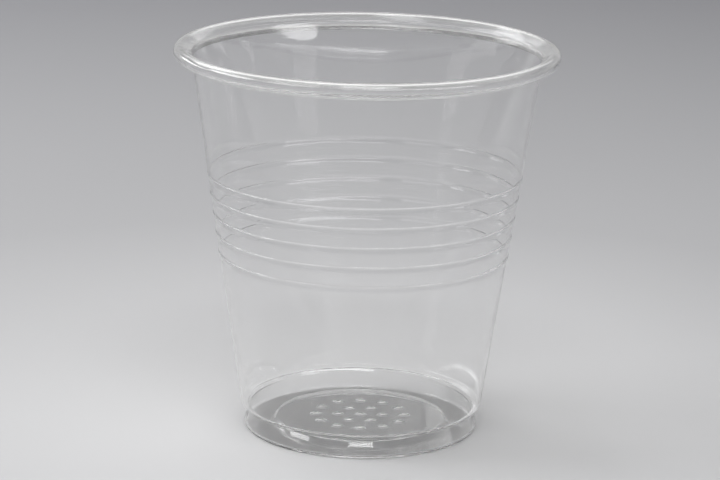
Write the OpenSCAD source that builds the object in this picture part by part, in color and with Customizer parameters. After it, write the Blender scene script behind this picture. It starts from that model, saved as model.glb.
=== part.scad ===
// Clear disposable drinking cup, thermoformed in one piece from a plastic sheet.
// The cup is one true sheet section, turned about the cup's axis: a raised base panel, a flat ring
// to stand on, a foot with the crease that keeps nested cups apart, a tapered wall with five fine
// rings, and a rim rolled outward. Millimetres, +Z up, origin on the floor at the cup's axis.

/* [Cup] */
// Height from the floor to the top of the rim
cup_h = 73.4; // [68:0.1:90]
// Outside diameter of the wall's cone, carried up to the middle of the rim's roll
mouth_d = 65.6; // [62:0.1:76]
// Outside diameter of the wall's cone, carried down to the floor
cone_d = 44.4; // [43.8:0.1:48]

/* [Sheet] */
// Thickness of the wall
wall_t = 0.3; // [0.22:0.01:0.4]
// Thickness of the base
base_t = 0.45; // [0.35:0.01:0.6]
// Thickness of the rolled rim
rim_t = 0.45; // [0.35:0.01:0.6]

/* [Base] */
// Diameter of the raised panel, at its upper edge
panel_d = 32; // [26:0.1:36]
// Height of the raised panel above the standing ring
panel_rise = 1.3; // [0.9:0.05:1.8]
// Steepness of the panel's edge, in degrees
panel_slope = 55; // [45:1:70]
// Radius of the bends at the panel's edge
panel_bend = 0.7; // [0.4:0.05:0.8]

/* [Foot] */
// Outside diameter of the foot just above its lower corner
foot_d = 44.3; // [44:0.1:45.5]
// Radius of the foot's lower corner
foot_bend = 0.6; // [0.5:0.05:1]
// Outside diameter in the crease above the foot
crease_d = 42.7; // [42.4:0.1:43.2]
// Height of the crease
crease_z = 4.1; // [3.8:0.1:4.2]
// Radius of the bend in the crease
crease_bend = 0.7; // [0.4:0.05:0.8]
// Height at which the wall's cone would meet the shoulder above the crease
shoulder_z = 4.7; // [4.6:0.1:5.6]
// Radius of the shoulder
shoulder_bend = 0.5; // [0.4:0.05:0.8]

/* [Rings] */
// Number of rings
ring_count = 5; // [1:1:7]
// Height of the lowest ring's crest
ring_z = 34.3; // [20:0.1:38]
// Distance from ring to ring
ring_pitch = 3.77; // [2.5:0.01:4.5]
// Length of the slow swell below a ring's crest
ring_rise = 1.2; // [0.8:0.1:2.2]
// Length of the short ledge above a ring's crest
ring_fall = 0.25; // [0.2:0.01:0.3]
// How far a ring stands out
ring_h = 0.12; // [0.1:0.01:0.2]
// How much thicker the sheet is at a ring's crest
ring_fill = 0.1; // [0:0.01:0.1]

/* [Rim] */
// How far the rim stands out beyond the wall
rim_w = 3.2; // [2.9:0.05:4]
// Outside radius of the roll
roll_r = 1.3; // [1.15:0.05:1.5]
// Slope of the flare that leads up to the roll, in degrees
flare_slope = 35; // [25:1:45]
// Radius of the bend from the wall into the flare
flare_bend = 0.6; // [0.4:0.05:0.9]
// Slope of the lip that turns back in under the roll, in degrees
lip_slope = 26; // [15:1:35]
// Gap between the lip's edge and the wall
lip_gap = 0.5; // [0.3:0.05:0.8]

/* [Pips] */
// Number of rings of pips round the middle one
pip_rings = 2; // [1:1:3]
// Distance from one ring of pips to the next
pip_pitch = 4.2; // [3:0.1:4.4]
// Width of a pip where it leaves the panel
pip_w = 1.8; // [1.2:0.1:2.4]
// Height of a pip
pip_h = 0.4; // [0.2:0.05:0.5]

/* [Hidden] */

// A round stretch is drawn with one step for about this many degrees
arc_step = 12;
// Points on each side of a ring's crest
ring_steps = 3;

wall_lean = atan((mouth_d - cone_d) / 2 / (cup_h - roll_r));
wall_heading = 90 - wall_lean;
rim_r = mouth_d / 2 + rim_w;

// The section is a line through the middle of the sheet. A station on it is [r, z, heading, thickness]:
// heading 0 runs outward and 90 upward, and the cup's inside, or the roll's outside, lies to its left.

// Stations round a bend about the centre c, from one heading to the next
function bend(c, radius, from, to, t) =
    let (side = to > from ? -90 : 90, steps = ceil(abs(to - from) / arc_step))
    [for (i = [0:steps])
        let (h = from + (to - from) * i / steps)
        [c[0] + radius * cos(h + side), c[1] + radius * sin(h + side), h, t]];

// A bend that rounds the corner p between two straight runs
function corner(p, radius, from, to, t) =
    let (
        middle = (from + to) / 2 + (to > from ? 90 : -90),
        reach = radius / cos((to - from) / 2)
    )
    bend([p[0] + reach * cos(middle), p[1] + reach * sin(middle)], radius, from, to, t);

// Middle of the wall's sheet at height z
function wall_r(z) = cone_d / 2 + z * tan(wall_lean) - wall_t / 2 / cos(wall_lean);

// One ring: the sheet swells slowly outward, thickening up to the crest, and falls back in a ledge
function ring(z) =
    [for (i = [-ring_steps:ring_steps])
        let (
            length = i < 0 ? ring_rise : ring_fall,
            share = (1 + cos(180 * i / ring_steps)) / 2,
            out = (ring_h - ring_fill / 2) * share,
            at = z + length * i / ring_steps * cos(wall_lean)
        )
        [
            wall_r(at) + out * cos(wall_lean),
            at - out * sin(wall_lean),
            wall_heading,
            wall_t + ring_fill * share
        ]];

// Base: the panel steps down to the ring that the cup stands on
panel_z = base_t / 2 + panel_rise;
panel_foot_r = panel_d / 2 + panel_rise / tan(panel_slope);

// Foot: its wall leans in towards the crease
crease = [(crease_d - wall_t) / 2, crease_z];
foot_top = [(foot_d - base_t) / 2, base_t + foot_bend];
foot_heading = atan2(crease[1] - foot_top[1], crease[0] - foot_top[0]);
foot_corner = [foot_top[0] - (foot_top[1] - base_t / 2) / tan(foot_heading), base_t / 2];

// Shoulder: from the crease out to the wall
shoulder = [wall_r(shoulder_z), shoulder_z];
shoulder_heading = atan2(shoulder[1] - crease[1], shoulder[0] - crease[0]);

// Roll: the flare runs up to it, and the lip turns back in under it
roll_bend = roll_r - rim_t / 2;
roll = [rim_r - roll_r, cup_h - roll_r];
flare_end = [roll[0] - roll_bend * sin(flare_slope), roll[1] + roll_bend * cos(flare_slope)];
flare_run = 1 / tan(flare_slope);
flare_z = (wall_r(0) - flare_end[0] + flare_end[1] * flare_run) / (flare_run - tan(wall_lean));
lip_start = [roll[0] + roll_bend * sin(lip_slope), roll[1] - roll_bend * cos(lip_slope)];
lip_r = mouth_d / 2 + lip_gap + rim_t / 2;
lip_end = [lip_r, lip_start[1] - (lip_start[0] - lip_r) * tan(lip_slope)];
lip_heading = lip_slope - 180;

middle_line = concat(
    [[0, panel_z, 0, base_t]],
    corner([panel_d / 2, panel_z], panel_bend, 0, -panel_slope, base_t),
    corner([panel_foot_r, base_t / 2], panel_bend, -panel_slope, 0, base_t),
    corner(foot_corner, foot_bend, 0, foot_heading, base_t),
    corner(crease, crease_bend, foot_heading, shoulder_heading, wall_t),
    corner(shoulder, shoulder_bend, shoulder_heading, wall_heading, wall_t),
    [for (k = [0:ring_count - 1]) each ring(ring_z + k * ring_pitch)],
    corner([wall_r(flare_z), flare_z], flare_bend, wall_heading, flare_slope, wall_t),
    bend(roll, roll_bend, flare_slope, lip_heading, rim_t),
    [[lip_end[0], lip_end[1], lip_heading, rim_t]]
);

// The point beside a station, to its left by this share of the thickness
function beside(s, share) =
    [s[0] - s[3] * share * sin(s[2]), s[1] + s[3] * share * cos(s[2])];

inner_side = [for (s = middle_line) beside(s, 0.5)];
outer_side = [for (i = [len(middle_line) - 1:-1:0]) beside(middle_line[i], -0.5)];
lip_edge = [for (a = [60:-60:-60])
    [lip_end[0] + rim_t / 2 * cos(lip_heading + a), lip_end[1] + rim_t / 2 * sin(lip_heading + a)]];

module sheet() {
    rotate_extrude($fn = 180)
        polygon(concat(inner_side, lip_edge, outer_side));
}

// Small domes in the middle of the panel, raised on top and hollow beneath, in place of any marking
module pips(height, width, z) {
    radius = (height * height + width * width / 4) / (2 * height);
    for (k = [0:pip_rings])
        for (i = [0:max(0, 6 * k - 1)])
            rotate([0, 0, i * 60 / max(1, k)])
                translate([k * pip_pitch, 0, z + height - radius])
                    sphere(r = radius, $fn = 48);
}

module cup() {
    color([0.93, 0.95, 0.96, 0.35])
        difference() {
            union() {
                sheet();
                intersection() {
                    pips(pip_h, pip_w, panel_z + base_t / 2);
                    translate([0, 0, panel_z])
                        cylinder(h = base_t + pip_h, d = panel_d, $fn = 96);
                }
            }
            intersection() {
                pips(pip_h, pip_w - base_t, panel_z - base_t / 2);
                cylinder(h = panel_z + base_t, d = panel_d, $fn = 96);
            }
        }
}

cup();
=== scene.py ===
# %% [markdown]
# A clear disposable drinking cup. The real one is a single sheet of clear polypropylene, heated,
# sucked into a mould and trimmed, and its edge is then rolled outward. So everything here is one
# piece: the whole cup is drawn as the cut edge of the sheet and turned about the cup's axis.
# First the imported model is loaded. It fixes the size and place of the cup, and the piece that
# is made here takes both from it.

# %% Load the frame
from math import atan2, ceil, cos, degrees, hypot, pi, radians, sin, tan

import bmesh
import bpy
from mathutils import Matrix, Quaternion, Vector


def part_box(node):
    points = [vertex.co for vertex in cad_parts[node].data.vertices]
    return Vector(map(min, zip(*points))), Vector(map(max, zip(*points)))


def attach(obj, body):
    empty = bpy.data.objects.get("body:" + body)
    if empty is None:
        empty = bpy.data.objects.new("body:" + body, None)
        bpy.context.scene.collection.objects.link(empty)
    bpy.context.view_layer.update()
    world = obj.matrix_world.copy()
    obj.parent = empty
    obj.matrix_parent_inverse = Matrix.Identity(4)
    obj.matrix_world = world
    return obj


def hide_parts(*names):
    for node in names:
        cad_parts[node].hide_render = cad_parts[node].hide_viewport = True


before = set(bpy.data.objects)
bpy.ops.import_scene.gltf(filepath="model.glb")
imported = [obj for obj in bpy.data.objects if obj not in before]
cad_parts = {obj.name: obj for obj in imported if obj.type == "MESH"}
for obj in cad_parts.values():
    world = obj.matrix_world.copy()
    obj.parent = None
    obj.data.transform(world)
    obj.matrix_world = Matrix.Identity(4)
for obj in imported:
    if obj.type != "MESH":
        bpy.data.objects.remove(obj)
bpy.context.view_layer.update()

MM = 0.001
cup_low, cup_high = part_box("cup")
print("cup in the frame, mm:", [round(v / MM, 2) for v in (*cup_low, *cup_high)])

# %% [markdown]
# The camera comes next, so that every later choice can be judged in the final view. It is a long
# lens from just over half a metre away, about 15 degrees above the table, and it is held a degree
# off level. A long lens keeps the mouth's ellipse and the foot's ellipse nearly alike.

# %% Camera
CAMERA_LENS = 150.75
CAMERA_DISTANCE = 568.4 * MM
CAMERA_ELEVATION = radians(14.6)
CAMERA_ROLL = radians(1.11)
CAMERA_AIM = Vector((-0.68, 0, 36.1)) * MM

camera_back = Vector((0, -cos(CAMERA_ELEVATION), sin(CAMERA_ELEVATION)))
camera_turn = (-camera_back).to_track_quat("-Z", "Y") @ Quaternion((0, 0, 1), CAMERA_ROLL)
bpy.ops.object.camera_add(
    location=CAMERA_AIM + camera_back * CAMERA_DISTANCE, rotation=camera_turn.to_euler()
)
camera = bpy.context.object
camera.name = "camera"
camera.data.lens = CAMERA_LENS
bpy.context.scene.camera = camera
print("camera at, mm:", [round(v / MM) for v in camera.location])

# %% [markdown]
# The cup could be built as an outer wall with a thickness added by a modifier. The sheet isn't
# equally thick all over, though, and light bends through every millimetre of it, so the section
# is drawn as a designer would: a line through the middle of the sheet, with a thickness at each
# station. A station is (radius, height, heading, thickness) in millimetres and degrees. Heading
# 0 runs outward and 90 upward. Bends are arcs between two headings, in finer steps than the
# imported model's. The height and the rim's radius are read from the frame, and the other sizes
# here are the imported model's own.

# %% Sizes of the section, in millimetres and degrees
CUP_H = cup_high.z / MM
RIM_R = min(-cup_low.x, cup_high.x, -cup_low.y, cup_high.y) / MM
RIM_W = 3.2
MOUTH_R = RIM_R - RIM_W
CONE_R = 22.2
WALL_T = 0.3
BASE_T = 0.45
RIM_T = 0.45
ROLL_R = 1.3
ARC_STEP = 9

WALL_LEAN = degrees(atan2(MOUTH_R - CONE_R, CUP_H - ROLL_R))
WALL_HEADING = 90 - WALL_LEAN
print("the wall leans by", round(WALL_LEAN, 2), "degrees")


# %% Arcs and corners of the middle line
def bend(centre, radius, start, end, thick):
    """Stations round an arc about centre, from one heading to the next."""
    side = -90 if end > start else 90
    steps = ceil(abs(end - start) / ARC_STEP)
    stations = []
    for i in range(steps + 1):
        heading = start + (end - start) * i / steps
        turn = radians(heading + side)
        stations.append(
            (centre[0] + radius * cos(turn), centre[1] + radius * sin(turn), heading, thick)
        )
    return stations


def corner(point, radius, start, end, thick):
    """A bend that rounds the corner between two straight runs that meet at point."""
    middle = radians((start + end) / 2 + (90 if end > start else -90))
    reach = radius / cos(radians(end - start) / 2)
    centre = (point[0] + reach * cos(middle), point[1] + reach * sin(middle))
    return bend(centre, radius, start, end, thick)


# %% [markdown]
# The base is pulled flat by the mould, and a panel in its middle is pushed up, so that the cup
# stands on a ring and not on its whole face. The foot leans in to a crease, which keeps one cup
# from jamming in the next when they are nested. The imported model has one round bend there. Here it
# is two tighter ones with a steep band between them, because that band mirrors a lamp all along and
# draws the bright arc at the back of the foot. The panel gets stations close together in its
# middle, because small domes are raised there later. Outside them, one plain station lies on the
# panel and one on the ring that the cup stands on.

# %% Base and foot
PANEL_R = 16
PANEL_RISE = 1.3
PANEL_SLOPE = 55
PANEL_BEND = 0.7
PANEL_STATION_R = 13
STAND_STATION_R = 19
FOOT_R = 22.15
FOOT_BEND = 0.6
CREASE = (21.2, 3.65)
LEDGE = (21.44, 4.38)
CREASE_BEND = 0.25
SHOULDER_Z = 4.7
SHOULDER_BEND = 0.5
PIP_ZONE_R = 10.5
PIP_ZONE_STEP = 0.25


def wall_r(z):
    """Radius of the middle of the wall's sheet at height z."""
    return CONE_R + z * tan(radians(WALL_LEAN)) - WALL_T / 2 / cos(radians(WALL_LEAN))


panel_z = BASE_T / 2 + PANEL_RISE
panel_foot_r = PANEL_R + PANEL_RISE / tan(radians(PANEL_SLOPE))
foot_top = (FOOT_R - BASE_T / 2, BASE_T + FOOT_BEND)
foot_heading = degrees(atan2(CREASE[1] - foot_top[1], CREASE[0] - foot_top[0]))
foot_corner = (
    foot_top[0] - (foot_top[1] - BASE_T / 2) / tan(radians(foot_heading)),
    BASE_T / 2,
)
shoulder = (wall_r(SHOULDER_Z), SHOULDER_Z)
crease_heading = degrees(atan2(LEDGE[1] - CREASE[1], LEDGE[0] - CREASE[0]))
shoulder_heading = degrees(atan2(shoulder[1] - LEDGE[1], shoulder[0] - LEDGE[0]))

pip_zone = [
    (i * PIP_ZONE_STEP, panel_z, 0, BASE_T) for i in range(int(PIP_ZONE_R / PIP_ZONE_STEP) + 1)
]
base = [
    *pip_zone,
    (PANEL_STATION_R, panel_z, 0, BASE_T),
    *corner((PANEL_R, panel_z), PANEL_BEND, 0, -PANEL_SLOPE, BASE_T),
    *corner((panel_foot_r, BASE_T / 2), PANEL_BEND, -PANEL_SLOPE, 0, BASE_T),
    (STAND_STATION_R, BASE_T / 2, 0, BASE_T),
    *corner(foot_corner, FOOT_BEND, 0, foot_heading, BASE_T),
    *corner(CREASE, CREASE_BEND, foot_heading, crease_heading, WALL_T),
    *corner(LEDGE, CREASE_BEND, crease_heading, shoulder_heading, WALL_T),
    *corner(shoulder, SHOULDER_BEND, shoulder_heading, WALL_HEADING, WALL_T),
]
print("base and foot:", len(base), "stations")

# %% [markdown]
# The wall is a plain cone with five fine rings that stiffen it. Each ring fills a notch in the
# mould: the outer face swells by about a tenth of a millimetre and falls back in a short ledge,
# and the inner face hardly follows. The ledge works as a small prism that bends the view down
# to the pale floor by the cup, so a ring shows as one thin bright line. Plain stations are set
# close above and below each ring. Without them its smooth shading would spread over the flat
# wall beside it and make the line a wide smear.

# %% Wall and rings
RING_COUNT = 5
RING_Z = 34.3
RING_PITCH = 3.77
RING_RISE = 1.2
RING_FALL = 0.25
RING_H = 0.12
RING_FILL = 0.1
RING_STEPS = 5
RING_MARGIN = 0.25
WALL_STATIONS = (8, 14, 20, 26, 32, 52, 58, 63, 67)


def on_wall(z, out=0, thick=WALL_T):
    """A station on the wall at height z, moved out square to the wall."""
    across = radians(WALL_LEAN)
    return (wall_r(z) + out * cos(across), z - out * sin(across), WALL_HEADING, thick)


def ring(z):
    """One ring: the sheet thickens slowly up to the crest at z and falls back in a ledge."""
    rise = cos(radians(WALL_LEAN))
    swell = RING_H - RING_FILL / 2
    stations = [on_wall(z - (RING_RISE + RING_MARGIN) * rise)]
    for i in range(-RING_STEPS, RING_STEPS + 1):
        length = RING_RISE if i < 0 else RING_FALL
        share = (1 + cos(pi * i / RING_STEPS)) / 2
        at = z + length * i / RING_STEPS * rise
        stations.append(on_wall(at, swell * share, WALL_T + RING_FILL * share))
    stations.append(on_wall(z + (RING_FALL + RING_MARGIN) * rise))
    return stations


wall = [on_wall(z) for z in WALL_STATIONS if z < RING_Z]
for k in range(RING_COUNT):
    wall += ring(RING_Z + k * RING_PITCH)
wall += [on_wall(z) for z in WALL_STATIONS if z > RING_Z]
print("wall:", len(wall), "stations")

# %% [markdown]
# At the top the wall breaks into a flare, goes over into the roll and comes back in under it. The
# roll is hollow, and its lip ends just short of the wall. Seen from above, light is bent by the
# upper skin and again by the lip beneath it, and that gives the rim its many fine lines. A solid
# bead would show only two of them.

# %% Rim
FLARE_SLOPE = 35
FLARE_BEND = 0.6
LIP_SLOPE = 26
LIP_GAP = 0.5

roll_bend = ROLL_R - RIM_T / 2
roll = (RIM_R - ROLL_R, CUP_H - ROLL_R)
flare_end = (
    roll[0] - roll_bend * sin(radians(FLARE_SLOPE)),
    roll[1] + roll_bend * cos(radians(FLARE_SLOPE)),
)
flare_run = 1 / tan(radians(FLARE_SLOPE))
flare_z = (wall_r(0) - flare_end[0] + flare_end[1] * flare_run) / (
    flare_run - tan(radians(WALL_LEAN))
)
lip_start = (
    roll[0] + roll_bend * sin(radians(LIP_SLOPE)),
    roll[1] - roll_bend * cos(radians(LIP_SLOPE)),
)
lip_end_r = MOUTH_R + LIP_GAP + RIM_T / 2
lip_end = (lip_end_r, lip_start[1] - (lip_start[0] - lip_end_r) * tan(radians(LIP_SLOPE)))
lip_heading = LIP_SLOPE - 180

rim = [
    *corner((wall_r(flare_z), flare_z), FLARE_BEND, WALL_HEADING, FLARE_SLOPE, WALL_T),
    *bend(roll, roll_bend, FLARE_SLOPE, lip_heading, RIM_T),
    (*lip_end, lip_heading, RIM_T),
]
print("rim:", len(rim), "stations")

# %% [markdown]
# The stations now become the cut edge of the sheet: one side, the rounded edge of the lip, and
# the other side back to the axis.

# %% Outline of the section
LIP_EDGE_TURNS = (45, 0, -45)

middle_line = base + wall + rim


def beside(station, share):
    """The point beside a station, to its left by this share of the thickness."""
    r, z, heading, thick = station
    return (
        max(0, r - thick * share * sin(radians(heading))),
        z + thick * share * cos(radians(heading)),
    )


lip_edge = [
    (
        lip_end[0] + RIM_T / 2 * cos(radians(lip_heading + a)),
        lip_end[1] + RIM_T / 2 * sin(radians(lip_heading + a)),
    )
    for a in LIP_EDGE_TURNS
]
outline = (
    [beside(s, 0.5) for s in middle_line]
    + lip_edge
    + [beside(s, -0.5) for s in reversed(middle_line)]
)
print("outline:", len(outline), "points")

# %% [markdown]
# The outline is drawn point by point, as one would click it in: a small plane is merged to a
# single vertex on the axis, and each extrusion adds the next point. Spin then turns the line
# about the axis, as the mould's own shape was turned on a lathe. The first and last copy lie on
# each other, and the pole has one vertex for each step, so doubles are merged and the
# normals made to point out of the plastic.

# %% Turn the section into the cup
SPIN_STEPS = 240
MERGE_WITHIN = 0.001 * MM

bpy.ops.object.select_all(action="DESELECT")
start = Vector((outline[0][0], 0, outline[0][1])) * MM
bpy.ops.mesh.primitive_plane_add(size=MM, location=start)
cup = bpy.context.object
cup.name = "clear_cup"
bpy.ops.object.mode_set(mode="EDIT")
bpy.ops.mesh.merge(type="CENTER")
for (r0, z0), (r1, z1) in zip(outline, outline[1:]):
    step = Vector((r1 - r0, 0, z1 - z0)) * MM
    bpy.ops.mesh.extrude_vertices_move(TRANSFORM_OT_translate={"value": step})
bpy.ops.mesh.select_all(action="SELECT")
bpy.ops.mesh.spin(steps=SPIN_STEPS, angle=2 * pi, center=(0, 0, 0), axis=(0, 0, 1))
bpy.ops.mesh.select_all(action="SELECT")
bpy.ops.mesh.remove_doubles(threshold=MERGE_WITHIN)
bpy.ops.mesh.normals_make_consistent(inside=False)
bpy.ops.object.mode_set(mode="OBJECT")
bpy.ops.object.transform_apply(location=True, rotation=True, scale=True)
bpy.ops.object.shade_smooth()
print("cup:", len(cup.data.vertices), "vertices,", len(cup.data.polygons), "faces")

# %% [markdown]
# In the middle of the panel the mould has small marks. Here they are plain domes in two rings
# about a middle one. Each is lifted by proportional editing, which pulls the sheet's
# two sides up together, so that the sheet keeps its thickness as a pressed sheet does.

# %% Domes on the base panel
PIP_RINGS = 2
PIPS_IN_FIRST_RING = 6
PIP_PITCH = 4.2
PIP_REACH = 1.15
PIP_H = 0.4


def lift(x, y, height, reach):
    """Pulls both sides of the panel up round the point x, y, all in millimetres."""
    mesh = bmesh.from_edit_mesh(cup.data)
    near = [v for v in mesh.verts if hypot(v.co.x / MM - x, v.co.y / MM - y) < reach]
    near = [v for v in near if abs(v.co.z / MM - panel_z) < BASE_T]
    for above in (True, False):
        layer = [v for v in near if (v.co.z / MM > panel_z) == above]
        nearest = min(layer, key=lambda v: hypot(v.co.x / MM - x, v.co.y / MM - y))
        nearest.select = True
    bmesh.update_edit_mesh(cup.data)
    bpy.ops.transform.translate(
        value=(0, 0, height * MM),
        use_proportional_edit=True,
        proportional_edit_falloff="SMOOTH",
        proportional_size=reach * MM,
    )
    bpy.ops.mesh.select_all(action="DESELECT")


bpy.ops.object.mode_set(mode="EDIT")
bpy.ops.mesh.select_mode(type="VERT")
bpy.ops.mesh.select_all(action="DESELECT")
pips = 0
for k in range(PIP_RINGS + 1):
    count = max(1, PIPS_IN_FIRST_RING * k)
    for i in range(count):
        turn = radians(i * 360 / count)
        lift(k * PIP_PITCH * cos(turn), k * PIP_PITCH * sin(turn), PIP_H, PIP_REACH)
        pips += 1
bpy.ops.object.mode_set(mode="OBJECT")
print(pips, "domes")

# %% [markdown]
# Materials are built from nodes. Colours are written as the hex values one would pick from a
# screen and turned to the linear values that Blender mixes in, and one small function adds a
# node with its settings and links.


# %% Helpers for materials
def linear(code):
    """The linear RGBA of an sRGB hex colour such as "D8DADC"."""
    channels = [int(code[i : i + 2], 16) / 255 for i in (0, 2, 4)]
    return (*[c / 12.92 if c <= 0.04045 else ((c + 0.055) / 1.055) ** 2.4 for c in channels], 1)


def add_node(tree, kind, settings=None, links=None):
    """Adds a node. Settings are its properties or its inputs' values, and links feed its inputs."""
    node = tree.nodes.new(kind)
    for key, value in (settings or {}).items():
        if isinstance(key, str) and hasattr(node, key):
            setattr(node, key, value)
        else:
            node.inputs[key].default_value = value
    for key, output in (links or {}).items():
        tree.links.new(output, node.inputs[key])
    return node


def new_material(name):
    """An empty node material with its tree and its output node."""
    material = bpy.data.materials.new(name)
    material.use_nodes = True
    tree = material.node_tree
    tree.nodes.clear()
    return material, tree, tree.nodes.new("ShaderNodeOutputMaterial")


# %% [markdown]
# Clear polypropylene, formed from a sheet. It lets nearly all light through and mirrors about four
# hundredths of it at each face, so the eye sees it only where it catches a lamp or turns away
# edge-on. The sheet was stretched while it was soft: the wall has faint upright waves some nine
# millimetres apart, and the rolled rim has finer ones across it, left by the rolling. They could
# be moved into the mesh, but both are far shallower than the sheet is thick, so they are bump.
# A Mapping scale below 1 draws the wall's pattern out along the axis, and the rim's is faded in
# between two heights, given in millimetres below the top.

# %% Waves in the wall and in the rim
WALL_WAVE = 9 * MM
WALL_WAVE_DEPTH = 0.045 * MM
WALL_WAVE_UPRIGHT = 0.12
RIM_WAVE = 2.2 * MM
RIM_WAVE_DEPTH = 0.012 * MM
RIM_FADE_FROM = 4
RIM_FADE_TO = 2

clear_sheet, tree, output = new_material("clear_polypropylene_sheet")
place = add_node(tree, "ShaderNodeTexCoord").outputs["Object"]
upright = add_node(
    tree, "ShaderNodeMapping", {"Scale": (1, 1, WALL_WAVE_UPRIGHT)}, {"Vector": place}
)
wall_wave = add_node(
    tree,
    "ShaderNodeTexNoise",
    {"Scale": 1 / WALL_WAVE, "Detail": 2, "Roughness": 0.5},
    {"Vector": upright.outputs["Vector"]},
)
wall_bump = add_node(
    tree,
    "ShaderNodeBump",
    {"Strength": 1, "Distance": WALL_WAVE_DEPTH},
    {"Height": wall_wave.outputs["Fac"]},
)
rim_wave = add_node(
    tree,
    "ShaderNodeTexNoise",
    {"Scale": 1 / RIM_WAVE, "Detail": 1, "Roughness": 0.4},
    {"Vector": place},
)
height = add_node(tree, "ShaderNodeSeparateXYZ", links={"Vector": place}).outputs["Z"]
at_rim = add_node(
    tree,
    "ShaderNodeMapRange",
    {"From Min": (CUP_H - RIM_FADE_FROM) * MM, "From Max": (CUP_H - RIM_FADE_TO) * MM},
    {"Value": height},
)
rim_height = add_node(
    tree,
    "ShaderNodeMath",
    {"operation": "MULTIPLY"},
    {0: rim_wave.outputs["Fac"], 1: at_rim.outputs["Result"]},
)
bump = add_node(
    tree,
    "ShaderNodeBump",
    {"Strength": 1, "Distance": RIM_WAVE_DEPTH},
    {"Height": rim_height.outputs["Value"], "Normal": wall_bump.outputs["Normal"]},
)
print("waves, mm apart:", [round(apart / MM, 2) for apart in (WALL_WAVE, RIM_WAVE)])

# %% [markdown]
# The plastic itself is one Principled shader. A plain glass shader would be simpler, but the sheet
# isn't as clear as glass: a hundredth and a half of the light is scattered, which leaves a faint
# milky veil inside the cup. Its index of refraction is 1.49. The rim is a little rougher than the
# wall, so that its lines are softer.

# %% Clear polypropylene sheet
POLYPROPYLENE_IOR = 1.49
SHEET_COLOUR = "FEFEFE"
CLEAR_SHARE = 0.985
WALL_ROUGHNESS = 0.03
RIM_ROUGHNESS = 0.1

roughness = add_node(
    tree,
    "ShaderNodeMapRange",
    {"To Min": WALL_ROUGHNESS, "To Max": RIM_ROUGHNESS},
    {"Value": at_rim.outputs["Result"]},
)
plastic = add_node(
    tree,
    "ShaderNodeBsdfPrincipled",
    {
        "Base Color": linear(SHEET_COLOUR),
        "IOR": POLYPROPYLENE_IOR,
        "Transmission Weight": CLEAR_SHARE,
    },
    {"Normal": bump.outputs["Normal"], "Roughness": roughness.outputs["Result"]},
)
tree.links.new(plastic.outputs["BSDF"], output.inputs["Surface"])
cup.data.materials.clear()
cup.data.materials.append(clear_sheet)
print(clear_sheet.name, "has", len(tree.nodes), "nodes")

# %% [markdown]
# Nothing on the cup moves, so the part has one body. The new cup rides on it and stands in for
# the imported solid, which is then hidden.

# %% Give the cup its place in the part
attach(cup, "root")
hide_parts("cup")
print(cup.name, "stands in for the packed cup")

# %% [markdown]
# The floor is one sheet of paper with painted shade: its colour is pale under the cup and painted
# greyer further off, because the cup's white edges and highlights need something darker behind
# them to be seen. It is greyest half a metre away, and pale again from a metre on, to meet the
# pale horizon. Its size and the distances of its tones from the cup's axis are in metres.

# %% Floor
FLOOR_SIZE = 8
FLOOR_GAP = 0.02 * MM
# Painted shade: the paper's colour is pale under the cup and painted darker further off.
FLOOR_SHADE_TONES = ((0.03, "DADADB"), (0.16, "B9B9BB"), (0.5, "949498"), (1, "E0E0E1"))

bpy.ops.object.select_all(action="DESELECT")
bpy.ops.mesh.primitive_plane_add(size=FLOOR_SIZE, location=(0, 0, -FLOOR_GAP))
bpy.ops.object.transform_apply(location=True)
floor = bpy.context.object
floor.name = "floor"
paper, tree, output = new_material("paper_with_painted_shade")
place = add_node(tree, "ShaderNodeTexCoord").outputs["Object"]
far = add_node(tree, "ShaderNodeVectorMath", {"operation": "LENGTH"}, {0: place})
ramp = add_node(tree, "ShaderNodeValToRGB", links={"Fac": far.outputs["Value"]})
stops = ramp.color_ramp.elements
while len(stops) < len(FLOOR_SHADE_TONES):
    stops.new(1)
for stop, (distance, code) in zip(stops, FLOOR_SHADE_TONES):
    stop.position = distance
    stop.color = linear(code)
matt = add_node(
    tree,
    "ShaderNodeBsdfPrincipled",
    {"Roughness": 0.9, "Specular IOR Level": 0.2},
    {"Base Color": ramp.outputs["Color"]},
)
tree.links.new(matt.outputs["BSDF"], output.inputs["Surface"])
floor.data.materials.append(paper)
print("floor tones:", [(round(stop.position, 2), round(stop.color[0], 3)) for stop in stops])

# %% [markdown]
# Clear things are lit by what they mirror, so each soft box is placed for the highlight that it
# draws. Four stand round the left: they make the white sweep along the front of the rim, the
# highlight at its far right and the streak in the foot. A wide strip at the front on the right
# draws the arc at the back of the crease, and a small round one below it draws the patch under
# the far rim. One high at the front makes the white bar in the base. One behind and one overhead
# light the small domes and the far rim. Their strengths were set together with the world's, so
# that a colour on the floor renders about as it is written.

# %% Lamps
LAMP_DISTANCE = 1.0


def soft_box(name, azimuth, elevation, width, height, radiance, shape="RECTANGLE"):
    """A soft box that faces the cup. Azimuth 0 is the camera's side, 90 the right, in degrees.

    Width and height are in metres. The energy is a rectangle's for that radiance. An ellipse gives
    off as much from a smaller face, so it is about a quarter brighter than that.
    """
    turn, rise = radians(azimuth), radians(elevation)
    towards = Vector((sin(turn) * cos(rise), -cos(turn) * cos(rise), sin(rise)))
    bpy.ops.object.light_add(
        type="AREA",
        location=Vector((0, 0, CUP_H / 2 * MM)) + towards * LAMP_DISTANCE,
        rotation=towards.to_track_quat("Z", "Y").to_euler(),
    )
    lamp = bpy.context.object
    lamp.name = name
    lamp.data.shape = shape
    lamp.data.size = width
    lamp.data.size_y = height
    lamp.data.energy = radiance * width * height * pi
    lamp.visible_camera = False


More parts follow.
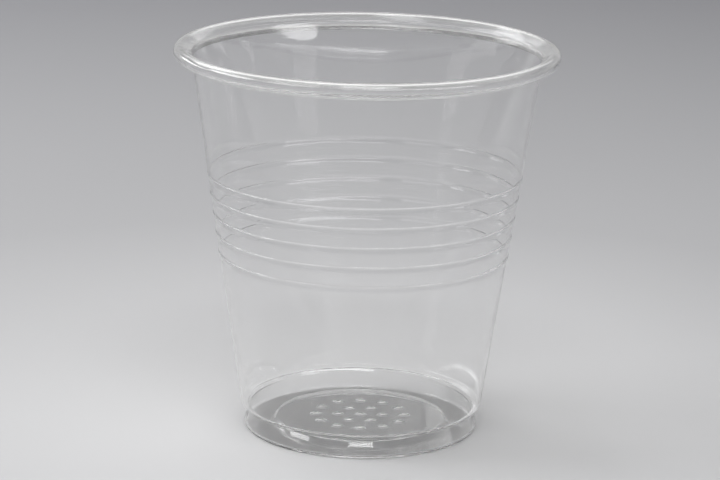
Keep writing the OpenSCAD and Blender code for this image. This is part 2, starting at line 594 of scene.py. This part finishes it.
soft_box("left_front", -48, 29, 0.55, 0.3, 2.4)
soft_box("left", -92, 29, 0.58, 0.34, 6)
soft_box("left_back", -127, 17, 0.6, 0.14, 4)
soft_box("left_back_high", -140, 38, 0.36, 0.3, 3.2)
soft_box("behind", 180, 40, 0.83, 0.7, 0.8)
soft_box("front_right", 26, 22, 1.55, 0.13, 6.4)
soft_box("right_low", 52, 10, 0.62, 0.08, 3.2, "ELLIPSE")
soft_box("overhead", -140, 76, 0.3, 0.15, 3.2)
soft_box("front_high", 2, 56, 0.45, 0.15, 8)

# %% [markdown]
# The world is a pale studio, brightest near the floor, and the rim mirrors it there as thin white
# lines. A photograph of a studio would need a file, so its tones are a ramp over the height of
# each direction, from 0 at the horizon to 1 straight up. Below the horizon the first tone holds.

# %% World
WORLD_STRENGTH = 0.8
WORLD_TONES = (
    (0, "E1E1E1"),
    (0.14, "D2D2D2"),
    (0.34, "B4B4B4"),
    (0.59, "959595"),
    (0.85, "A8A8A8"),
)

world = bpy.data.worlds.new("studio")
bpy.context.scene.world = world
world.use_nodes = True
tree = world.node_tree
tree.nodes.clear()
output = tree.nodes.new("ShaderNodeOutputWorld")
up = add_node(
    tree,
    "ShaderNodeSeparateXYZ",
    links={"Vector": add_node(tree, "ShaderNodeTexCoord").outputs["Generated"]},
).outputs["Z"]
sky = add_node(tree, "ShaderNodeValToRGB", links={"Fac": up})
stops = sky.color_ramp.elements
while len(stops) < len(WORLD_TONES):
    stops.new(1)
for stop, (rise, code) in zip(stops, WORLD_TONES):
    stop.position = rise
    stop.color = linear(code)
light = add_node(
    tree, "ShaderNodeBackground", {"Strength": WORLD_STRENGTH}, {"Color": sky.outputs["Color"]}
)
tree.links.new(light.outputs["Background"], output.inputs["Surface"])
print("world tones:", [(round(stop.position, 2), round(stop.color[0], 3)) for stop in stops])

# %% [markdown]
# Light that enters a thin clear sheet at a bend is often caught inside and mirrored many times
# before it gets out again. With the usual twelve bounces it would be lost, and each ring and
# the edge of the roll would have a black line. More bounces let it come out.

# %% Light paths and view settings
BOUNCES = 48

scene = bpy.context.scene
scene.cycles.max_bounces = BOUNCES
scene.cycles.transmission_bounces = BOUNCES
scene.cycles.glossy_bounces = BOUNCES
scene.view_settings.view_transform = "Standard"
print("light bounces:", scene.cycles.max_bounces)
